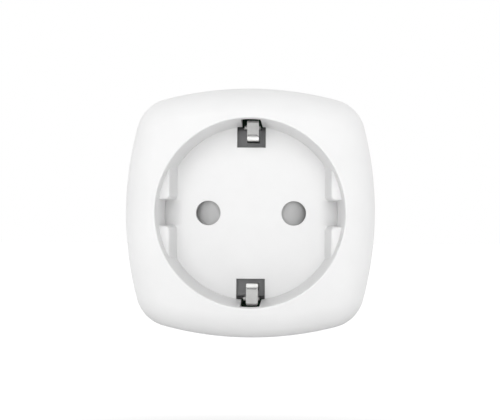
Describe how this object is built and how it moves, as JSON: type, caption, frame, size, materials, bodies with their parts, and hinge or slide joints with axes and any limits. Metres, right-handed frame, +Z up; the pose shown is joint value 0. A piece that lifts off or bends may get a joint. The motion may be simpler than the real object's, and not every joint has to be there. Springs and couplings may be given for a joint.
{
  "type": "plug in power meter",
  "caption": "Plug-through mains power meter: white rounded-square body with a round-pin socket recess in front and a plug boss with pins behind.",
  "frame": {"origin": "centre of the flat rear face that rests against the wall socket", "axes": "+Y into the wall along the pins, +Z up, the socket recess opens towards -Y"},
  "size_m": [0.0528, 0.0794, 0.0528],
  "materials": {
    "white_plastic": "moulded, satin gloss white",
    "shutter_plastic": "moulded, light grey",
    "dark_plastic": "moulded, dark grey",
    "nickel_plate": "nickel plated, polished",
    "contact_brass": "stamped brass",
    "spring_steel": "spring steel",
    "circuit_board": "green solder mask",
    "relay_plastic": "moulded, black",
    "copper_winding": "enamelled copper",
    "soft_iron": "plated soft iron",
    "shunt_alloy": "resistance alloy",
    "chip_plastic": "moulded, black",
    "film_capacitor": "moulded, yellow",
    "varistor_coat": "dipped, blue",
    "capacitor_sleeve": "shrunk sleeve",
    "resistor_coat": "lacquered",
    "switch_plastic": "moulded, red",
    "lamp_plastic": "milky lamp body",
    "clear_plastic": "clear moulded rod",
    "label_foil": "brushed foil, blank"
  },
  "bodies": {
    "housing": {"front_housing": "white_plastic", "rear_housing": "white_plastic", "contact_carrier": "dark_plastic", "line_pin": "nickel_plate", "neutral_pin": "nickel_plate", "earth_strap_top": "nickel_plate", "earth_strap_bottom": "nickel_plate", "radio_shield": "nickel_plate", "line_contact": "contact_brass", "neutral_contact": "contact_brass", "earth_bar": "contact_brass", "earth_tube": "contact_brass", "relay_contacts": "contact_brass", "shutter_spring": "spring_steel", "housing_screws": "spring_steel", "board_screws": "spring_steel", "main_board": "circuit_board", "radio_board": "circuit_board", "relay_case": "relay_plastic", "relay_base": "relay_plastic", "switch_body": "relay_plastic", "relay_coil": "copper_winding", "radio_antenna": "copper_winding", "relay_yoke": "soft_iron", "shunt_strip": "shunt_alloy", "metering_chip": "chip_plastic", "bridge_rectifier": "chip_plastic", "regulator_chip": "chip_plastic", "filter_choke": "chip_plastic", "filter_capacitor": "film_capacitor", "varistor": "varistor_coat", "smoothing_capacitors": "capacitor_sleeve", "fusible_resistor": "resistor_coat", "status_led": "lamp_plastic", "light_pipe": "clear_plastic", "rating_label": "label_foil"},
    "shutter": {"shutter": "shutter_plastic"},
    "clip_top": {"earth_clip_top": "nickel_plate"},
    "clip_bottom": {"earth_clip_bottom": "nickel_plate"},
    "button": {"push_button": "white_plastic"},
    "plunger": {"switch_plunger": "switch_plastic"},
    "armature": {"relay_armature": "soft_iron"}
  },
  "joints": [
    {"name": "shutter_turn", "type": "hinge", "parent": "housing", "child": "shutter", "pos_m": [0, -0.0223, 0], "axis": [0, -1, 0], "range_deg": [0, 38], "stiffness_Nm_per_rad": 0.02, "springref_deg": -20.05, "deforming": ["shutter_spring"]},
    {"name": "clip_top_flex", "type": "hinge", "parent": "housing", "child": "clip_top", "pos_m": [0.00065, -0.0219, 0.01655], "axis": [-1, 0, 0], "range_deg": [0, 3.2], "stiffness_Nm_per_rad": 0.8},
    {"name": "clip_bottom_flex", "type": "hinge", "parent": "housing", "child": "clip_bottom", "pos_m": [0.00065, -0.0219, -0.01655], "axis": [1, 0, 0], "range_deg": [0, 3.2], "stiffness_Nm_per_rad": 0.8},
    {"name": "button_press", "type": "slide", "parent": "housing", "child": "button", "axis": [-1, 0, 0], "range_m": [0, 0.00045], "stiffness_N_per_m": 1500, "springref_m": -0.0002},
    {"name": "plunger_press", "type": "slide", "parent": "housing", "child": "plunger", "axis": [-1, 0, 0], "range_m": [0, 0.00045]},
    {"name": "armature_pull", "type": "hinge", "parent": "housing", "child": "armature", "pos_m": [0.0088, -0.0166, 0.01285], "axis": [-1, 0, 0], "range_deg": [0, 4], "stiffness_Nm_per_rad": 0.02, "springref_deg": -5.73}
  ],
  "couplings": [
    {"joint": "plunger_press", "follows": "button_press", "ratio": 1}
  ]
}
